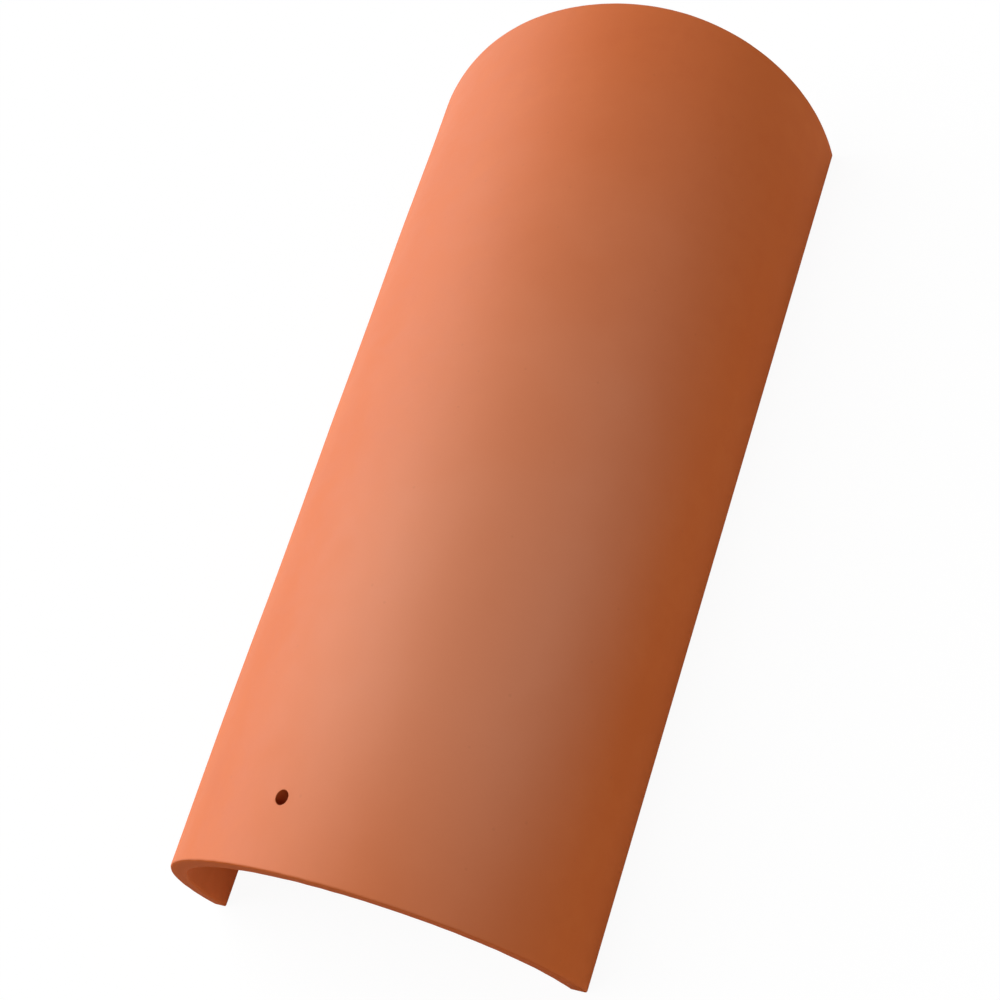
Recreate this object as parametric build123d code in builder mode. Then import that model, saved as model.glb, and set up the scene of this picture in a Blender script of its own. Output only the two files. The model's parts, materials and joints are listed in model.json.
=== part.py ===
from build123d import *
import os
from math import atan, cos, degrees, hypot, sin

# A tapered barrel roof tile of fired clay, made as one piece: the upper part of a truncated cone, cut
# level along two long edges, the feet. X runs across the tile, Y runs along it from the narrow end to
# the wide end and Z is up. The origin is on the floor under the middle of the tile. Sizes are in
# millimetres.

# Outside of the shell, with its widths measured foot to foot
tile_length = 467.0
wide_width = 254.0
narrow_width = 182.0

# The cone's axis lies level, a little below the feet, so the arch is just under a half circle
axis_drop = 2.0

# Thickness of the shell, measured square to the axis
wall = 7.0

# Easing of every edge, limited by the wall
edge_round = 0.8
edge_round_limit_share = 0.4

# Nail hole through the crown, set back from the narrow end
nail_hole_diameter = 5.5
nail_hole_setback = 25.0

half_length = tile_length / 2
wide_radius = hypot(wide_width / 2, axis_drop)
narrow_radius = hypot(narrow_width / 2, axis_drop)
edge_radius = min(edge_round, edge_round_limit_share * wall)
cone_axis = Axis((0, 0, -axis_drop), (0, 1, 0))

# The crown line climbs towards the wide end, and the nail hole is square to it
crown_climb = (wide_radius - narrow_radius) / tile_length
crown_slope = atan(crown_climb)
nail_hole_crown = narrow_radius + crown_climb * nail_hole_setback - axis_drop
nail_hole_place = Plane(
    origin=(0, nail_hole_setback - half_length, nail_hole_crown),
    x_dir=(1, 0, 0),
    z_dir=(0, -sin(crown_slope), cos(crown_slope)),
)

with BuildPart() as barrel_tile:
    # The wall is drawn below the axis, where the seam of the turned cone is cut away with the lower part
    narrow_outside = -axis_drop - narrow_radius
    wide_outside = -axis_drop - wide_radius
    with BuildSketch(Plane.YZ):
        with BuildLine():
            Polyline(
                (-half_length, narrow_outside),
                (half_length, wide_outside),
                (half_length, wide_outside + wall),
                (-half_length, narrow_outside + wall),
                close=True,
            )
        make_face()
    revolve(axis=cone_axis)

    # The level cut leaves the arch standing on its two feet
    split(bisect_by=Plane.XY, keep=Keep.TOP)

    # Every edge is eased, round both ends and along both feet
    fillet(barrel_tile.edges(), radius=edge_radius)

    # The nail hole goes straight through the crown wall
    with Locations(nail_hole_place):
        Hole(radius=nail_hole_diameter / 2)

barrel_tile.part.label = "barrel_tile"

os.makedirs("parts", exist_ok=True)
export_step(barrel_tile.part, "parts/barrel_tile.step")

print(f"the crown line climbs {degrees(crown_slope):.2f} degrees")
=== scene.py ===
"""A tapered barrel roof tile of fired clay: its shell, its clay finish and a plain studio.

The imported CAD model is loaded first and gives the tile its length, its place and its nail hole.
Everything is in metres, in the frame of that model: X across the tile, Y along it from the narrow
end to the wide end, Z up, with the feet on the floor.
"""

import json
from math import pi, radians

import bmesh
import bpy
import numpy as np
from bpy.props import FloatProperty, FloatVectorProperty, IntProperty, PointerProperty
from bpy.types import Operator, Panel, PropertyGroup
from mathutils import Matrix, Vector


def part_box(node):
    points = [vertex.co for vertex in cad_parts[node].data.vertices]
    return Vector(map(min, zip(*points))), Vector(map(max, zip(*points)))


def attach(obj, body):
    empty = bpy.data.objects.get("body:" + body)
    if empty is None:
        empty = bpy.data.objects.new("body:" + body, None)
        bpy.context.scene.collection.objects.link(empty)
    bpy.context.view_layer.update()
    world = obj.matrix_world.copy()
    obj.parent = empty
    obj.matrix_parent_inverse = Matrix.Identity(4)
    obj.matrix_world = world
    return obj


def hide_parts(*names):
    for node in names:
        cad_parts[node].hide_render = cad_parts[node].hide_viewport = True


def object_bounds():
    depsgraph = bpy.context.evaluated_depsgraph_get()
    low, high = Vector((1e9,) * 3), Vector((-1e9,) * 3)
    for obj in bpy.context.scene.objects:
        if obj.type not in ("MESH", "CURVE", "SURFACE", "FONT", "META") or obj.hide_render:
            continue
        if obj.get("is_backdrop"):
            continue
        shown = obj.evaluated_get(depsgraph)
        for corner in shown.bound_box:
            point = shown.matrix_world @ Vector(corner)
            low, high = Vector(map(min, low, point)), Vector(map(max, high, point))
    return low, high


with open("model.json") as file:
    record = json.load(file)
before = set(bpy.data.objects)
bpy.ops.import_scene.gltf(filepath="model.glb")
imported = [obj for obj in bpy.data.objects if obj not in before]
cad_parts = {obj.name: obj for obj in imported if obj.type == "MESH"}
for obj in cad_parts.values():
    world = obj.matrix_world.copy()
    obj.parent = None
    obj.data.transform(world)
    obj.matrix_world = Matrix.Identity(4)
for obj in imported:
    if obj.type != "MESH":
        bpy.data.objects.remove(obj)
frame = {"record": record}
cad_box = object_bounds()

bl_info = {
    "name": "Barrel Roof Tile",
    "version": (1, 0, 0),
    "blender": (4, 5, 0),
    "location": "3D View > Sidebar > Roof Tile",
    "description": "Builds a tapered barrel roof tile of fired clay and a plain studio round it",
    "category": "Object",
}

TILE_NODE = "barrel_tile"
SKIN_MAP = "tile_skin"
WHITE = (1.0, 1.0, 1.0, 1.0)
FLOOR_REACH = 6.0
WELD_DISTANCE = 0.00001

# Shortest and longest wave of each kind of relief, first across the tile and then along it, or
# down through the wall for the wire's ripple
SWAY_WAVES = (0.09, 0.30), (0.12, 0.50)
SMEAR_WAVES = (0.02, 0.05), (0.03, 0.12)
DRAG_WAVES = (0.006, 0.02), (0.2, 1.2)
UNDER_WAVES = (0.005, 0.03), (0.15, 0.9)
WIRE_WAVES = (0.008, 0.06), (0.01, 0.04)

# Rounded slant of the nail hole, for the lip and the marks round it: how far it moves along the
# tile for each metre of depth
HOLE_LEAN = 0.08

# Clay pushed up round the nail hole: where its ring lies, as a share of the bore's radius, how wide
# the ring is, how uneven the burr underneath is and how many lumps it has
LIP_REACH_SHARE = 1.2
LIP_WIDTH = 0.0009
BURR_UNEVENNESS = 0.35
BURR_LUMPS = 3

# How far from a foot the relief and the wire's ripple fade out, how far from an end the ripple
# reaches, and how wide the wear along the edges is
RELIEF_FADE = 0.015
RIPPLE_FADE = 0.01
RIPPLE_REACH = 0.006
WEAR_WIDTH = 0.0012

# Repeats to the metre, detail and roughness of each noise. The streaks are drawn on the UV map,
# which is stretched first, and the specks lie in the cells of a pattern of their own.
CLOUD = (14.0, 3.0, 0.5)
MOTTLE = (75.0, 3.0, 0.6)
STREAK = (1.0, 3.0, 0.6)
GRAIN = (900.0, 2.0, 0.7)
STREAK_STRETCH = (150.0, 4.0, 1.0)
SPECK_SCALE = 260.0

# Range of the noise that is spread over a whole pattern, and the share of each pattern in the tone
NOISE_RANGE = (0.3, 0.7)
CLOUD_SHARE = 0.45
MOTTLE_SHARE = 0.3
STREAK_SHARE = 0.25

# How far the clouds vary the painted sheen, a pale colour that stands in for the lamps' reflection,
# and how fully each other colour covers the clay below it
SHEEN_RANGE = (0.92, 1.08)
UNDER_COVER = 0.9
CUT_COVER = 0.9
WEAR_COVER = 0.2
SPECK_COVER = 0.1

# Specks: the distances between which one fades out, and the share of cells that have none
SPECK_FADE = (0.10, 0.22)
SPECK_FREE_SHARE = 0.97

# Share of the half arch over which the satin skin turns dry, and how far the mottle varies it
SATIN_RANGE = (0.35, 0.68)
SATIN_UNEVENNESS = 0.05

# Strength and depth of the fine lines and the grain in the surface
LINE_BUMP = (0.12, 0.0002)
GRAIN_BUMP = (0.25, 0.0001)

tile_low, tile_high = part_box(TILE_NODE)
nail_hole = next(m for m in frame["record"]["mounts"] if m["name"] == "nail_hole")


class TileSizes(PropertyGroup):
    """The tile's own sizes, as the CAD model has them."""

    length: FloatProperty(
        name="Length", description="From the narrow end to the wide end",
        default=tile_high[1] - tile_low[1], unit="LENGTH",
    )
    wide_width: FloatProperty(
        name="Wide end", description="Outside width of the wide end, foot to foot",
        default=0.254, unit="LENGTH",
    )
    narrow_width: FloatProperty(
        name="Narrow end", description="Outside width of the narrow end, foot to foot",
        default=0.182, unit="LENGTH",
    )
    axis_drop: FloatProperty(
        name="Axis drop", description="How far the cone's axis lies below the feet",
        default=0.002, unit="LENGTH",
    )
    wall: FloatProperty(
        name="Wall", description="Thickness of the shell, square to the axis",
        default=0.007, unit="LENGTH",
    )
    edge_round: FloatProperty(
        name="Edge round", description="Radius that eases every edge",
        default=0.0008, unit="LENGTH",
    )


class TileRelief(PropertyGroup):
    """Fine relief that pressing, dragging and cutting the wet clay leave on the shell."""

    seed: IntProperty(name="Seed", description="Starts the random draws of the relief", default=18)
    sway: FloatProperty(
        name="Sway", description="Height of the broad unevenness of the wall",
        default=0.00012, unit="LENGTH",
    )
    smear: FloatProperty(
        name="Smear", description="Height of the hand-sized smoothing marks",
        default=0.00001, unit="LENGTH",
    )
    drag: FloatProperty(
        name="Drag lines", description="Height of the fine lines that run along the outside",
        default=0.000005, unit="LENGTH",
    )
    under_drag: FloatProperty(
        name="Underside lines", description="Height of the coarser lines along the underside",
        default=0.00006, unit="LENGTH",
    )
    wire_cut: FloatProperty(
        name="Wire cut", description="Height of the ripple that the wire leaves on the ends",
        default=0.00003, unit="LENGTH",
    )
    hole_ease: FloatProperty(
        name="Hole easing", description="Radius that eases both rims of the nail hole",
        default=0.00012, unit="LENGTH",
    )
    hole_lip: FloatProperty(
        name="Hole lip", description="Height of the clay raised round the nail hole outside",
        default=0.00004, unit="LENGTH",
    )
    hole_burr: FloatProperty(
        name="Hole burr", description="Height of the clay pushed out round the hole underneath",
        default=0.0005, unit="LENGTH",
    )


class ClayFinish(PropertyGroup):
    """Colours and gloss of the fired clay."""

    body: FloatVectorProperty(
        name="Clay", description="Main colour of the fired clay",
        subtype="COLOR", size=3, min=0, max=1, default=(0.61, 0.1275, 0.0190),
    )
    pale: FloatVectorProperty(
        name="Pale clay", description="Colour of the dry, dusty patches and the worn edges",
        subtype="COLOR", size=3, min=0, max=1, default=(0.63, 0.140, 0.025),
    )
    deep: FloatVectorProperty(
        name="Deep clay", description="Colour of the harder fired patches",
        subtype="COLOR", size=3, min=0, max=1, default=(0.59, 0.116, 0.014),
    )
    # Painted sheen: a pale colour on the crown that stands in for the reflection of the lamps
    sheen: FloatVectorProperty(
        name="Painted bloom", description="Colour of the pale bloom on one side of the crown",
        subtype="COLOR", size=3, min=0, max=1, default=(0.71, 0.238, 0.114),
    )
    # Own tone of the cut clay, darkened further as painted shade on the ends and feet
    cut: FloatVectorProperty(
        name="Cut clay", description="Colour of the ends and the feet, where the clay was cut",
        subtype="COLOR", size=3, min=0, max=1, default=(0.39, 0.079, 0.018),
    )
    # Own tone of the underside, made paler as painted light inside the arch
    under: FloatVectorProperty(
        name="Underside", description="Colour of the underside",
        subtype="COLOR", size=3, min=0, max=1, default=(0.61, 0.133, 0.036),
    )
    # Darker inside the nail hole as painted shade in the bore
    bore: FloatVectorProperty(
        name="Bore", description="Colour inside the nail hole",
        subtype="COLOR", size=3, min=0, max=1, default=(0.44, 0.088, 0.020),
    )
    speck: FloatVectorProperty(
        name="Specks", description="Colour of the small iron specks",
        subtype="COLOR", size=3, min=0, max=1, default=(0.30, 0.07, 0.03),
    )
    crown_roughness: FloatProperty(
        name="Crown roughness", description="Roughness of the smooth crown",
        default=0.5, min=0, max=1,
    )
    flank_roughness: FloatProperty(
        name="Flank roughness", description="Roughness of the drier flanks, ends and underside",
        default=0.9, min=0, max=1,
    )
    gloss: FloatProperty(
        name="Gloss", description="Level of the reflection at the smooth outside",
        default=0.32, min=0, max=1,
    )
    cut_gloss: FloatProperty(
        name="Cut gloss", description="Level of the reflection at the ends, feet and underside",
        default=0.05, min=0, max=1,
    )


class PaintedSheen(PropertyGroup):
    """Where the painted sheen lies, a pale colour that stands in for the lamps' reflection, as
    shares of the half arch across and of the length along.
    """

    left_start: FloatProperty(
        name="Left start", description="Where the bloom starts on the left", default=-0.299,
    )
    left_rise: FloatProperty(
        name="Left rise", description="How far round the arch it takes to rise",
        default=0.549, min=0.01,
    )
    right_end: FloatProperty(
        name="Right end", description="Where the bloom ends on the right", default=0.874,
    )
    right_fall: FloatProperty(
        name="Right fall", description="How far round the arch it takes to fade",
        default=0.406, min=0.01,
    )
    far_end: FloatProperty(
        name="Far end", description="Where the bloom ends along the tile", default=1.114,
    )
    far_fall: FloatProperty(
        name="Far fall", description="How far along the tile it takes to fade",
        default=0.931, min=0.01,
    )
    near_start: FloatProperty(
        name="Near start", description="Where the bloom weakens towards the narrow end",
        default=0.203,
    )
    near_fall: FloatProperty(
        name="Near fall", description="How far along the tile it takes to weaken",
        default=0.295, min=0.01,
    )
    near_loss: FloatProperty(
        name="Near loss", description="Share of the bloom that is lost there",
        default=0.7, min=0, max=1,
    )


class StudioSetup(PropertyGroup):
    """The floor, the lamps and the camera."""

    key_power: FloatProperty(
        name="Key lamp", description="Strength of the large soft lamp on the left", default=3.88,
    )
    key_azimuth: FloatProperty(
        name="Key azimuth", description="Direction of the key lamp round the tile",
        unit="ROTATION", default=radians(173.3),
    )
    key_height: FloatProperty(
        name="Key height", description="Angle of the key lamp above the floor",
        unit="ROTATION", default=radians(45.6),
    )
    key_spread: FloatProperty(
        name="Key spread", description="Angle that the key lamp fills",
        unit="ROTATION", default=radians(76.0),
    )
    fill_power: FloatProperty(
        name="Fill lamp", description="Strength of the weak soft lamp on the right", default=0.801,
    )
    fill_azimuth: FloatProperty(
        name="Fill azimuth", description="Direction of the fill lamp round the tile",
        unit="ROTATION", default=radians(-35.0),
    )
    fill_height: FloatProperty(
        name="Fill height", description="Angle of the fill lamp above the floor",
        unit="ROTATION", default=radians(30.0),
    )
    fill_spread: FloatProperty(
        name="Fill spread", description="Angle that the fill lamp fills",
        unit="ROTATION", default=radians(60.0),
    )
    room: FloatProperty(
        name="Room light", description="Strength of the even light from all round", default=0.0,
    )
    floor_bounce: FloatProperty(
        name="Floor", description="How much light the floor throws back", default=0.9,
        min=0, max=1,
    )
    shadow_depth: FloatProperty(
        name="Shadow depth", description="Share of the floor's brightness that a shadow can take",
        default=0.06, min=0, max=1,
    )
    lens: FloatProperty(
        name="Lens", description="Focal length of the camera in millimetres", default=37.1295,
    )
    camera_place: FloatVectorProperty(
        name="Camera", description="Where the camera stands", subtype="TRANSLATION",
        unit="LENGTH", size=3, default=(0.24719, -0.29244, 0.37799),
    )
    camera_aim: FloatVectorProperty(
        name="Aim", description="The point on the floor that the camera looks at",
        subtype="TRANSLATION", unit="LENGTH", size=3, default=(-0.01596, -0.01127, 0.0),
    )
    camera_roll: FloatProperty(
        name="Roll", description="Turn of the camera about its line of sight, clockwise",
        unit="ROTATION", default=radians(34.1747),
    )


def outside_radius(sizes, along):
    """Radius of the outside at a place along the tile: it grows evenly from the narrow end to the
    wide end, and each end's radius is the slant from the axis to the foot's outer edge."""
    narrow = np.hypot(sizes.narrow_width / 2, sizes.axis_drop)
    wide = np.hypot(sizes.wide_width / 2, sizes.axis_drop)
    return narrow + (wide - narrow) * (along / sizes.length + 0.5)


def foot_angle(sizes, radius):
    """Angle from the crown to the foot about the axis, at which a circle of that radius meets the
    floor: its cosine is the axis drop over the radius."""
    return np.arccos(sizes.axis_drop / radius)


def half_arc(sizes, along, depth):
    """Length of the arc from the crown to the foot, at a depth below the outside."""
    radius = outside_radius(sizes, along) - depth
    return radius * foot_angle(sizes, radius)


def on_cone(sizes, across, along, depth):
    """Bends slab coordinates into the arch. The angle from the crown is the share across times the
    foot's angle, and the point lies at the outside radius less the depth from the lowered axis."""
    radius = outside_radius(sizes, along) - depth
    angle = across * foot_angle(sizes, outside_radius(sizes, along) - np.clip(depth, 0, sizes.wall))
    return np.stack([radius * np.sin(angle), along, radius * np.cos(angle) - sizes.axis_drop], -1)


def ease_edges(sizes, across, along, depth):
    """Rounds the slab's edges: each point is pulled onto a ball of the edge radius about the
    nearest point of the slab shrunk by that radius on every side."""
    arc = half_arc(sizes, along, depth)
    middle = sizes.wall / 2
    point = np.stack([across * arc, along, depth - middle], -1)
    half = np.stack([arc, np.full_like(arc, sizes.length / 2), np.full_like(arc, middle)], -1)
    inner = half - sizes.edge_round
    core = np.clip(point, -inner, inner)
    away = point - core
    pulled = core + away * (sizes.edge_round / np.linalg.norm(away, axis=-1, keepdims=True))
    return pulled[..., 0] / arc, pulled[..., 1], pulled[..., 2] + middle


def waves(rng, across, along, across_lengths, along_lengths, count=28):
    """Height field of unit strength: the sum of cosine waves with random phases, each with its
    length across and its length along drawn between the given limits."""
    spread_across = np.exp(rng.uniform(*np.log(across_lengths), count)) * rng.choice((-1, 1), count)
    spread_along = np.exp(rng.uniform(*np.log(along_lengths), count))
    phases = rng.uniform(0, 2 * np.pi, count)
    turns = across[..., None] / spread_across + along[..., None] / spread_along
    return np.cos(2 * np.pi * turns + phases).sum(-1) * np.sqrt(2 / count)


def smooth_step(value):
    """0 below 0, 1 above 1, and an even S between them: three squares less two cubes."""
    share = np.clip(value, 0, 1)
    return share * share * (3 - 2 * share)


def spaced(stops, cells):
    """Grid lines through the stops, with the given number of even cells between each two."""
    runs = [np.linspace(a, b, n, endpoint=False) for a, b, n in zip(stops, stops[1:], cells)]
    return np.concatenate(runs + [[stops[-1]]])


def quads(shape, first, keep=None, closed=False):
    """Faces of a grid of points numbered row by row from first. Closed joins the last column to
    the first, and keep leaves out cells."""
    rows, columns = shape
    index = first + np.arange(rows * columns).reshape(shape)
    if closed:
        index = np.concatenate([index, index[:, :1]], 1)
    corners = np.stack([index[:-1, :-1], index[1:, :-1], index[1:, 1:], index[:-1, 1:]], -1)
    return corners[keep] if keep is not None else corners.reshape(-1, 4)


class ShellGrids:
    """The grid lines of the shell: across as a share of the half arch, along and down in metres.

    The hole's window is a rectangle of whole cells round the nail hole that the skins leave open.
    """

    edge_cells = 5
    wall_cells = 3
    window_cells = 12
    flank_cells = 70
    short_cells = 8
    long_cells = 205
    window_half = 0.011

    # Points of a quarter round at the hole's rim, rings of the collar and of the bore, and how
    # strongly the collar's rings crowd towards the hole
    rim_points = 6
    collar_rings = 9
    bore_rings = 9
    collar_crowding = 1.5

    def __init__(self, sizes):
        half = sizes.length / 2
        edge = sizes.edge_round
        self.axis = Vector(nail_hole["axis"])
        top = Vector(nail_hole["pos_m"]) + self.axis * nail_hole["dims"]["length_mm"] / 2000
        self.hole_along = top.y
        self.hole_radius = nail_hole["dims"]["r_mm"] / 1000
        arc = half_arc(sizes, self.hole_along, 0.0)
        edge_share = edge / half_arc(sizes, 0.0, sizes.wall / 2)
        side = self.window_half / arc
        self.across = spaced(
            (-1, edge_share - 1, -side, side, 1 - edge_share, 1),
            (
                self.edge_cells, self.flank_cells, self.window_cells,
                self.flank_cells, self.edge_cells,
            ),
        )
        low, high = self.hole_along - self.window_half, self.hole_along + self.window_half
        self.along = spaced(
            (-half, edge - half, low, high, half - edge, half),
            (
                self.edge_cells, self.short_cells, self.window_cells,
                self.long_cells, self.edge_cells,
            ),
        )
        self.depth = spaced(
            (0.0, edge, sizes.wall - edge, sizes.wall),
            (self.edge_cells, self.wall_cells, self.edge_cells),
        )
        column, row = self.edge_cells + self.flank_cells, self.edge_cells + self.short_cells
        self.window_columns = slice(column, column + self.window_cells)
        self.window_rows = slice(row, row + self.window_cells)


def slab_sides(sizes, grids):
    """The six sides of the slab before it is bent, the outside first, as grids of share across,
    place along and depth, with the cells to keep and whether a grid is turned over to face out."""
    half = sizes.length / 2
    solid = np.ones((len(grids.across) - 1, len(grids.along) - 1), bool)
    solid[grids.window_columns, grids.window_rows] = False
    whole_end = np.ones((len(grids.across) - 1, len(grids.depth) - 1), bool)
    whole_foot = np.ones((len(grids.along) - 1, len(grids.depth) - 1), bool)
    for depth, turned in ((0.0, False), (sizes.wall, True)):
        across, along = np.meshgrid(grids.across, grids.along, indexing="ij")
        yield across, along, np.full_like(across, depth), solid, turned
    for place, turned in ((-half, True), (half, False)):
        across, depth = np.meshgrid(grids.across, grids.depth, indexing="ij")
        yield across, np.full_like(across, place), depth, whole_end, turned
    for foot, turned in ((-1.0, False), (1.0, True)):
        along, depth = np.meshgrid(grids.along, grids.depth, indexing="ij")
        yield np.full_like(along, foot), along, depth, whole_foot, turned


def hole_collar(sizes, relief, grids):
    """The skin round the nail hole and the hole itself, as one band from the window outside to the
    window underneath. Along the band each ring blends from the window's outline to a circle, then
    runs a quarter round over the rim, straight down the bore and out again the same way."""
    columns, rows = grids.across[grids.window_columns], grids.along[grids.window_rows]
    last_column = grids.across[grids.window_columns.stop]
    last_row = grids.along[grids.window_rows.stop]
    shares = np.concatenate([
        columns, np.full(len(rows), last_column),
        np.append(columns, last_column)[:0:-1], np.full(len(rows), columns[0]),
    ])
    places = np.concatenate([
        np.full(len(columns), rows[0]), rows,
        np.full(len(columns), last_row), np.append(rows, last_row)[:0:-1],
    ])
    bore, ease = grids.hole_radius, relief.hole_ease
    quarter = np.linspace(0, np.pi / 2, grids.rim_points)
    spread = np.linspace(0, 1, grids.collar_rings)[:-1]
    straight = np.linspace(ease, sizes.wall - ease, grids.bore_rings)[1:-1]
    ring = np.concatenate([spread, np.ones(2 * len(quarter) + len(straight)), spread[::-1]])
    reach = bore + ease * (1 - np.sin(quarter))
    drop = ease * (1 - np.cos(quarter))
    radius = np.concatenate([
        np.full(len(spread), reach[0]), reach, np.full(len(straight), bore),
        reach[::-1], np.full(len(spread), reach[0]),
    ])
    depth = np.concatenate([
        np.zeros(len(spread)), drop, straight, sizes.wall - drop[::-1],
        np.full(len(spread), sizes.wall),
    ])[:, None]
    ring, radius = ring[:, None], radius[:, None]
    slope = np.array((-grids.axis.y, grids.axis.z))
    centre = grids.hole_along + depth * slope.prod()
    outline = shares * half_arc(sizes, places, depth)
    turn = np.arctan2(places - centre, outline)
    blend = 1 - (1 - ring) ** grids.collar_crowding
    across = (1 - blend) * outline + blend * radius * np.cos(turn)
    along = (1 - blend) * places + blend * (centre + radius * np.sin(turn) * slope[1])
    depth = np.broadcast_to(depth, across.shape)
    return across / half_arc(sizes, along, depth), along, depth


def raised_clay(sizes, relief, grids, rng, metres, along, depth):
    """Height that the surface gains, outwards from the wall's middle. The sway and the smear move
    both skins together; each skin has drag lines of its own, and clay stands up round the hole as
    a bell curve about a ring just outside its rim. All of it dies away towards the feet."""
    under = smooth_step(depth / sizes.wall)
    sway = relief.sway * waves(rng, metres, along, *SWAY_WAVES)
    smear = relief.smear * waves(rng, metres, along, *SMEAR_WAVES)
    drag = relief.drag * waves(rng, metres, along, *DRAG_WAVES)
    coarse = relief.under_drag * waves(rng, metres, along, *UNDER_WAVES)
    from_hole = np.hypot(metres, along - grids.hole_along - depth * HOLE_LEAN)
    turn = np.arctan2(metres, along - grids.hole_along)
    ragged = 1 + BURR_UNEVENNESS * np.sin(BURR_LUMPS * turn + 1)
    lip = np.exp(-(((from_hole - LIP_REACH_SHARE * grids.hole_radius) / LIP_WIDTH) ** 2))
    lift = relief.hole_lip * (1 - under) - relief.hole_burr * under * ragged
    outer_skin = smear + drag
    return sway + (1 - under) * outer_skin - under * coarse + lift * lip


def kiln_bloom(sizes, sheen, across, along):
    """Strength of the painted sheen, a pale colour that stands in for the lamps' reflection on the
    shell:
    four smooth steps multiplied. Round the arch it rises from left of the crown and fades above the
    right foot. Along the tile it fades towards the wide end and weakens close to the narrow end."""
    place = along / sizes.length + 0.5
    left = smooth_step((across - sheen.left_start) / sheen.left_rise)
    right = smooth_step((sheen.right_end - across) / sheen.right_fall)
    far = smooth_step((sheen.far_end - place) / sheen.far_fall)
    near = 1 - sheen.near_loss * smooth_step((sheen.near_start - place) / sheen.near_fall)
    return left * right * far * near


def shell_arrays(sizes, relief, sheen):
    """Points, faces and finish of the closed shell. The sides of a flat slab have their edges
    eased and the relief added to their depth, and then the slab is bent into the arch. A face
    belongs to the outside where it lies no deeper than a third of the edges' easing."""
    grids = ShellGrids(sizes)
    parts, faces, count = [], [], 0
    for across, along, depth, keep, turned in slab_sides(sizes, grids):
        corners = quads(across.shape, count, keep)
        faces.append(corners[:, ::-1] if turned else corners)
        eased = ease_edges(sizes, across, along, depth)
        parts.append(np.stack([value.ravel() for value in eased], -1))
        count += across.size
    collar = hole_collar(sizes, relief, grids)
    faces.append(quads(collar[0].shape, count, closed=True)[:, ::-1])
    parts.append(np.stack([value.ravel() for value in collar], -1))
    across, along, depth = np.concatenate(parts).T
    faces = np.concatenate(faces)
    outside = depth[faces].max(1) <= sizes.edge_round / 3

    arc = half_arc(sizes, along, depth)
    metres = across * arc
    rng = np.random.default_rng(relief.seed)
    from_foot = (1 - np.abs(across)) * arc
    gain = raised_clay(sizes, relief, grids, rng, metres, along, depth)
    gain = gain * smooth_step(from_foot / RELIEF_FADE)
    ripple = relief.wire_cut * waves(rng, metres, depth, *WIRE_WAVES)
    to_end = sizes.length / 2 - np.abs(along)
    shift = ripple * smooth_step(1 - to_end / RIPPLE_REACH) * smooth_step(from_foot / RIPPLE_FADE)
    points = on_cone(sizes, across, along, depth - gain)
    points[:, 1] += shift

    from_hole = np.hypot(metres, along - grids.hole_along - depth * HOLE_LEAN)
    bore_gap = from_hole - grids.hole_radius
    skin_gap = np.minimum(depth, sizes.wall - depth)
    gaps = np.sort(np.stack([from_foot, to_end, skin_gap]), 0)[1]
    arris = np.exp(-((np.minimum(gaps, np.hypot(bore_gap, skin_gap)) / WEAR_WIDTH) ** 2))
    marks = {
        "arris": arris,
        "haunch": np.abs(across),
        # Where the painted sheen lies, a pale colour that stands in for the lamps' reflection
        "sheen": kiln_bloom(sizes, sheen, across, along),
        # Cut ends and feet get their own tone darkened as painted shade, the underside its own tone
        # paled as painted light, and the bore a darker colour as painted shade
        "cut": smooth_step(1 - np.minimum(to_end, from_foot) / sizes.edge_round),
        "under": smooth_step(depth / sizes.wall),
        "bore": smooth_step(1 - bore_gap / relief.hole_ease),
    }
    skin = np.stack([metres + depth, along + depth], -1)
    return points, faces, marks, skin, outside


def build_mesh(name, points, faces, marks, skin, outside):
    """Puts the arrays into a mesh, joins the sides along their seams, and makes sure that the
    shell is closed. Faces of the outside get the first material and the others the second."""
    mesh = bpy.data.meshes.new(name)
    mesh.from_pydata(points, [], faces)
    mesh.polygons.foreach_set("material_index", (~outside).astype(int))
    for mark, values in marks.items():
        mesh.attributes.new(mark, "FLOAT", "POINT").data.foreach_set("value", values)
    corners = np.empty(len(mesh.loops), int)
    mesh.loops.foreach_get("vertex_index", corners)
    mesh.uv_layers.new(name=SKIN_MAP).data.foreach_set("uv", skin[corners].ravel())

    work = bmesh.new()
    work.from_mesh(mesh)
    bmesh.ops.remove_doubles(work, verts=work.verts, dist=WELD_DISTANCE)
    open_edges = sum(not edge.is_manifold for edge in work.edges)
    work.to_mesh(mesh)
    work.free()
    if open_edges:
        raise RuntimeError(f"the shell is open along {open_edges} edges")
    mesh.shade_smooth()
    return mesh


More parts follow.
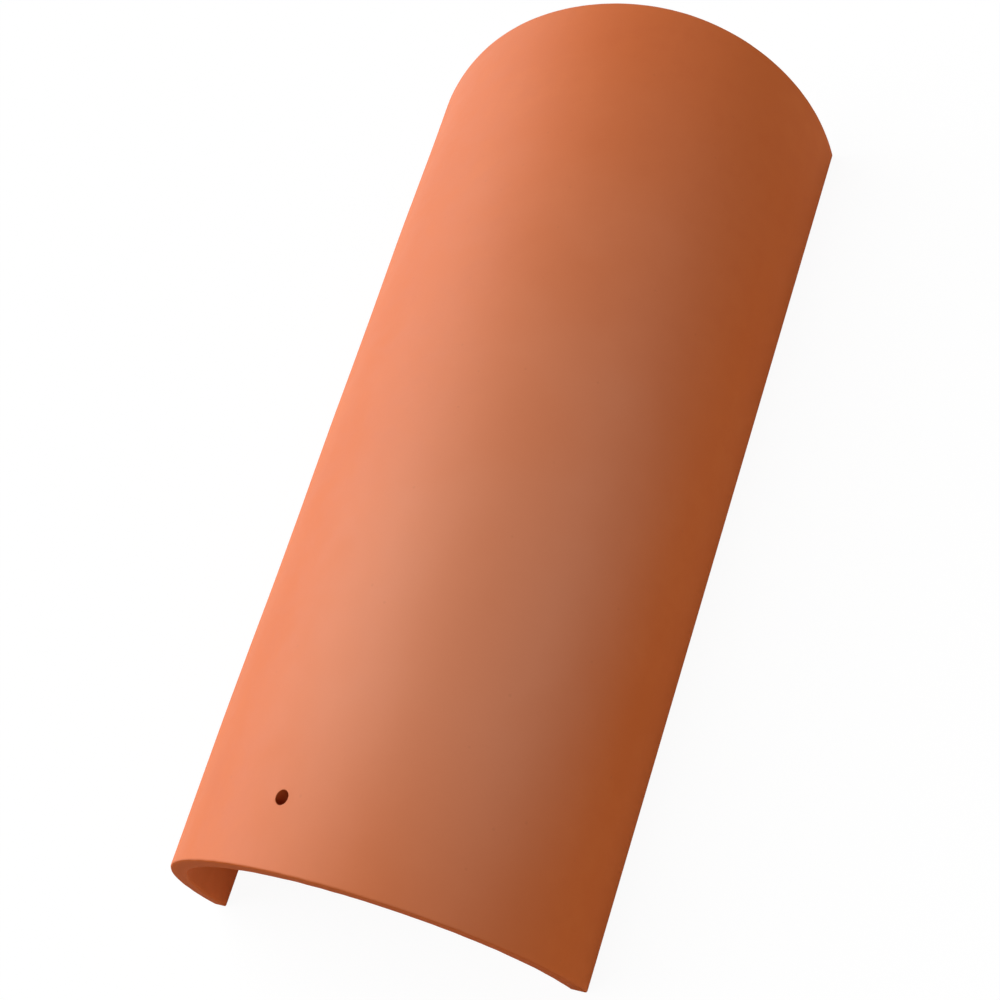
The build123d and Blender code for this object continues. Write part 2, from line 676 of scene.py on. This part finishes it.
class ClayNodes:
    """A material's node tree, with one call for each node that it gets."""

    def __init__(self, material):
        material.use_nodes = True
        self.tree = material.node_tree
        self.tree.nodes.clear()

    def add(self, kind, settings=None, **inputs):
        """Adds a node, sets its own properties, and sets or links its inputs, each by its name or
        by the letter i and its number."""
        node = self.tree.nodes.new(kind)
        for key, value in (settings or {}).items():
            setattr(node, key, value)
        for key, value in inputs.items():
            socket = node.inputs[int(key[1:])] if key[0] == "i" and key[1:].isdigit() else (
                node.inputs[key.replace("_", " ")])
            if isinstance(value, bpy.types.NodeSocket):
                self.tree.links.new(value, socket)
            else:
                socket.default_value = value
        return node

    def math(self, operation, first, second, clamp=False):
        """One sum on numbers."""
        settings = {"operation": operation, "use_clamp": clamp}
        return self.add("ShaderNodeMath", settings, i0=first, i1=second).outputs[0]

    def noise(self, vector, scale, detail, roughness):
        """Soft random patches, from 0 to 1."""
        return self.add(
            "ShaderNodeTexNoise", Vector=vector, Scale=scale, Detail=detail, Roughness=roughness
        ).outputs["Fac"]

    def stretch(self, value, low, high, to_low=0.0, to_high=1.0):
        """Spreads the numbers between low and high over a new range, and holds them within it."""
        settings = {"interpolation_type": "SMOOTHSTEP"}
        return self.add(
            "ShaderNodeMapRange", settings,
            Value=value, From_Min=low, From_Max=high, To_Min=to_low, To_Max=to_high,
        ).outputs["Result"]

    def blend(self, share, first, second):
        """Mixes two colours by a share."""
        node = self.add("ShaderNodeMix", {"data_type": "RGBA"}, i0=share, i6=first, i7=second)
        return node.outputs[2]


def clay_material(finish, name, crown_roughness, gloss):
    """Fired clay: soft patches of paler and deeper colour, faint streaks along the tile, fine grain
    and sparse iron specks, with a painted sheen on the crown that stands in for the lamps'
    reflection, paler worn edges and a skin that grows rougher down the flanks. The underside has a
    tone of its own made paler as painted light inside the arch, the cut faces a tone of their own
    darkened further as painted shade, and the nail hole a darker colour as painted shade."""
    material = bpy.data.materials.new(name)
    clay = ClayNodes(material)
    place = clay.add("ShaderNodeTexCoord").outputs["Object"]
    skin = clay.add("ShaderNodeUVMap", {"uv_map": SKIN_MAP}).outputs["UV"]
    arris, haunch, sheen, cut, under, bore = (
        clay.add("ShaderNodeAttribute", {"attribute_name": mark}).outputs["Fac"]
        for mark in ("arris", "haunch", "sheen", "cut", "under", "bore")
    )
    lengthwise = clay.add("ShaderNodeMapping", i3=STREAK_STRETCH, Vector=skin).outputs["Vector"]

    cloud = clay.stretch(clay.noise(place, *CLOUD), *NOISE_RANGE)
    mottle = clay.stretch(clay.noise(place, *MOTTLE), *NOISE_RANGE)
    streak = clay.noise(lengthwise, *STREAK)
    grain = clay.noise(place, *GRAIN)

    tone = clay.math("MULTIPLY", cloud, CLOUD_SHARE)
    for pattern, share in ((mottle, MOTTLE_SHARE), (streak, STREAK_SHARE)):
        tone = clay.math("ADD", tone, clay.math("MULTIPLY", pattern, share))
    body = (*finish.body, 1.0)
    deep_to_body = clay.blend(clay.stretch(tone, 0.0, 0.5), (*finish.deep, 1.0), body)
    colour = clay.blend(clay.stretch(tone, 0.5, 1.0), deep_to_body, (*finish.pale, 1.0))
    # Painted sheen: a pale colour that stands in for the lamps' reflection on the crown, kept off
    # the underside
    sheen_share = clay.math("MULTIPLY", sheen, clay.stretch(cloud, 0.0, 1.0, *SHEEN_RANGE), clamp=True)
    sheen_share = clay.math("MULTIPLY", sheen_share, clay.math("SUBTRACT", 1.0, under))
    colour = clay.blend(sheen_share, colour, (*finish.sheen, 1.0))
    # Underside: its own tone, made paler as painted light inside the arch
    colour = clay.blend(clay.math("MULTIPLY", under, UNDER_COVER), colour, (*finish.under, 1.0))
    # Ends and feet: the cut clay's tone, darkened further as painted shade
    colour = clay.blend(clay.math("MULTIPLY", cut, CUT_COVER), colour, (*finish.cut, 1.0))
    colour = clay.blend(clay.math("MULTIPLY", arris, WEAR_COVER), colour, (*finish.pale, 1.0))
    # Nail hole: a darker colour as painted shade in the bore
    colour = clay.blend(bore, colour, (*finish.bore, 1.0))

    speck_cells = clay.add("ShaderNodeTexVoronoi", Vector=place, Scale=SPECK_SCALE)
    dot = clay.stretch(speck_cells.outputs["Distance"], *SPECK_FADE, 1.0, 0.0)
    chance = clay.add("ShaderNodeSeparateColor", Color=speck_cells.outputs["Color"]).outputs["Red"]
    sparse = clay.math("GREATER_THAN", chance, SPECK_FREE_SHARE)
    specks = clay.math("MULTIPLY", clay.math("MULTIPLY", dot, sparse), SPECK_COVER)
    colour = clay.blend(specks, colour, (*finish.speck, 1.0))

    satin = clay.stretch(haunch, *SATIN_RANGE, crown_roughness, finish.flank_roughness)
    uneven = clay.math("MULTIPLY", clay.math("SUBTRACT", mottle, 0.5), SATIN_UNEVENNESS)
    roughness = clay.math("ADD", satin, uneven, clamp=True)

    lines = clay.add(
        "ShaderNodeBump", Height=streak, Strength=LINE_BUMP[0], Distance=LINE_BUMP[1]
    ).outputs["Normal"]
    surface = clay.add(
        "ShaderNodeBump", Height=grain, Strength=GRAIN_BUMP[0], Distance=GRAIN_BUMP[1], Normal=lines
    ).outputs["Normal"]

    shader = clay.add(
        "ShaderNodeBsdfPrincipled", {"distribution": "GGX"},
        Base_Color=colour, Roughness=roughness, Normal=surface, Specular_IOR_Level=gloss,
    )
    clay.add("ShaderNodeOutputMaterial", Surface=shader.outputs["BSDF"])
    return material


def show_white(nodes, plain, white):
    """Mixes two shaders: white where the camera looks straight, by reflection or through glass, and
    the plain one for all other light."""
    rays = nodes.add("ShaderNodeLightPath").outputs
    seen = nodes.math("MAXIMUM", rays["Is Camera Ray"], rays["Is Glossy Ray"])
    seen = nodes.math("MAXIMUM", seen, rays["Is Transmission Ray"])
    return nodes.add("ShaderNodeMixShader", i0=seen, i1=plain, i2=white).outputs[0]


def floor_material(studio):
    """Plain white floor that keeps a soft shadow: it glows a little less than white, and the rest
    comes from the light that falls on it."""
    material = bpy.data.materials.new("studio_floor")
    nodes = ClayNodes(material)
    bounce = (studio.floor_bounce,) * 3 + (1.0,)
    plain = nodes.add("ShaderNodeBsdfDiffuse", Color=bounce).outputs[0]
    glow = nodes.add("ShaderNodeEmission", Strength=1 - studio.shadow_depth).outputs[0]
    shaded = (studio.shadow_depth,) * 3 + (1.0,)
    lit = nodes.add("ShaderNodeBsdfDiffuse", Color=shaded).outputs[0]
    white = nodes.add("ShaderNodeAddShader", i0=glow, i1=lit).outputs[0]
    nodes.add("ShaderNodeOutputMaterial", Surface=show_white(nodes, plain, white))
    return material


def studio_world(studio):
    """Even light from all round, which shows as plain white behind the tile."""
    world = bpy.data.worlds.new("studio_room")
    nodes = ClayNodes(world)
    plain = nodes.add("ShaderNodeBackground", Color=WHITE, Strength=studio.room).outputs[0]
    white = nodes.add("ShaderNodeBackground", Color=WHITE, Strength=1.0).outputs[0]
    nodes.add("ShaderNodeOutputWorld", Surface=show_white(nodes, plain, white))
    return world


def put_in_scene(context, name, data):
    """Makes an object of the data and links it to the scene."""
    made = bpy.data.objects.new(name, data)
    context.scene.collection.objects.link(made)
    return made


def soft_lamp(context, name, power, azimuth, height, spread):
    """A wide, distant lamp that shines on the tile from an azimuth and a height, and fills the
    given angle of the room."""
    lamp = bpy.data.lights.new(name, "SUN")
    lamp.energy = power
    lamp.angle = spread
    placed = put_in_scene(context, name, lamp)
    placed.rotation_euler = (pi / 2 - height, 0.0, azimuth + pi / 2)


class TILE_OT_shell(Operator):
    """Make the clay shell of the tile, from foot to foot and from end to end"""

    bl_idname = "tile.make_shell"
    bl_label = "Make Tile"

    def execute(self, context):
        scene = context.scene
        arrays = shell_arrays(scene.tile_sizes, scene.tile_relief, scene.kiln_bloom)
        shell = put_in_scene(context, "tile_shell", build_mesh("tile_shell", *arrays))
        finish = scene.clay_finish
        for name, roughness, gloss in (
            ("satin_clay", finish.crown_roughness, finish.gloss),
            ("cut_clay", finish.flank_roughness, finish.cut_gloss),
        ):
            shell.data.materials.append(clay_material(finish, name, roughness, gloss))
        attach(shell, "root")
        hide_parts(TILE_NODE)
        return {"FINISHED"}


class TILE_OT_stage(Operator):
    """Set up the plain floor, the soft lamps and the camera"""

    bl_idname = "tile.make_stage"
    bl_label = "Make Stage"

    def execute(self, context):
        scene = context.scene
        studio = scene.studio_setup
        ground = bpy.data.meshes.new("studio_floor")
        corners = [
            (-FLOOR_REACH, -FLOOR_REACH, 0), (FLOOR_REACH, -FLOOR_REACH, 0),
            (FLOOR_REACH, FLOOR_REACH, 0), (-FLOOR_REACH, FLOOR_REACH, 0),
        ]
        ground.from_pydata(corners, [], [(0, 1, 2, 3)])
        ground.materials.append(floor_material(studio))
        put_in_scene(context, "studio_floor", ground)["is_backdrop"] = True

        scene.world = studio_world(studio)
        soft_lamp(
            context, "key_lamp", studio.key_power,
            studio.key_azimuth, studio.key_height, studio.key_spread,
        )
        soft_lamp(
            context, "fill_lamp", studio.fill_power,
            studio.fill_azimuth, studio.fill_height, studio.fill_spread,
        )

        camera = bpy.data.cameras.new("camera")
        camera.lens = studio.lens
        placed = put_in_scene(context, "camera", camera)
        look = Vector(studio.camera_aim) - Vector(studio.camera_place)
        roll = Matrix.Rotation(-studio.camera_roll, 4, "Z")
        turn = look.to_track_quat("-Z", "Y").to_matrix().to_4x4()
        placed.matrix_world = Matrix.Translation(studio.camera_place) @ turn @ roll
        scene.camera = placed
        scene.view_settings.view_transform = "Standard"
        return {"FINISHED"}


class TILE_PT_sidebar(Panel):
    """The tile's settings in the sidebar"""

    bl_idname = "TILE_PT_sidebar"
    bl_label = "Roof Tile"
    bl_space_type = "VIEW_3D"
    bl_region_type = "UI"
    bl_category = "Roof Tile"

    def draw(self, context):
        for group in GROUPS:
            settings = getattr(context.scene, group)
            box = self.layout.box()
            box.label(text=group.replace("_", " ").capitalize())
            for name in settings.bl_rna.properties.keys():
                if name not in ("rna_type", "name"):
                    box.prop(settings, name)
        self.layout.operator(TILE_OT_shell.bl_idname)
        self.layout.operator(TILE_OT_stage.bl_idname)


GROUPS = {
    "tile_sizes": TileSizes,
    "tile_relief": TileRelief,
    "clay_finish": ClayFinish,
    "kiln_bloom": PaintedSheen,
    "studio_setup": StudioSetup,
}
CLASSES = (*GROUPS.values(), TILE_OT_shell, TILE_OT_stage, TILE_PT_sidebar)


def register():
    """Registers the classes and gives each scene its settings."""
    for made in CLASSES:
        bpy.utils.register_class(made)
    for name, group in GROUPS.items():
        setattr(bpy.types.Scene, name, PointerProperty(type=group))


def unregister():
    """Takes the settings and the classes away again."""
    for name in GROUPS:
        delattr(bpy.types.Scene, name)
    for made in reversed(CLASSES):
        bpy.utils.unregister_class(made)


def main():
    register()
    bpy.ops.tile.make_shell()
    bpy.ops.tile.make_stage()
    boxes = {"cad": cad_box, "visual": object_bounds()}
    {name: [list(low), list(high)] for name, (low, high) in boxes.items()}


if __name__ == "__main__":
    main()
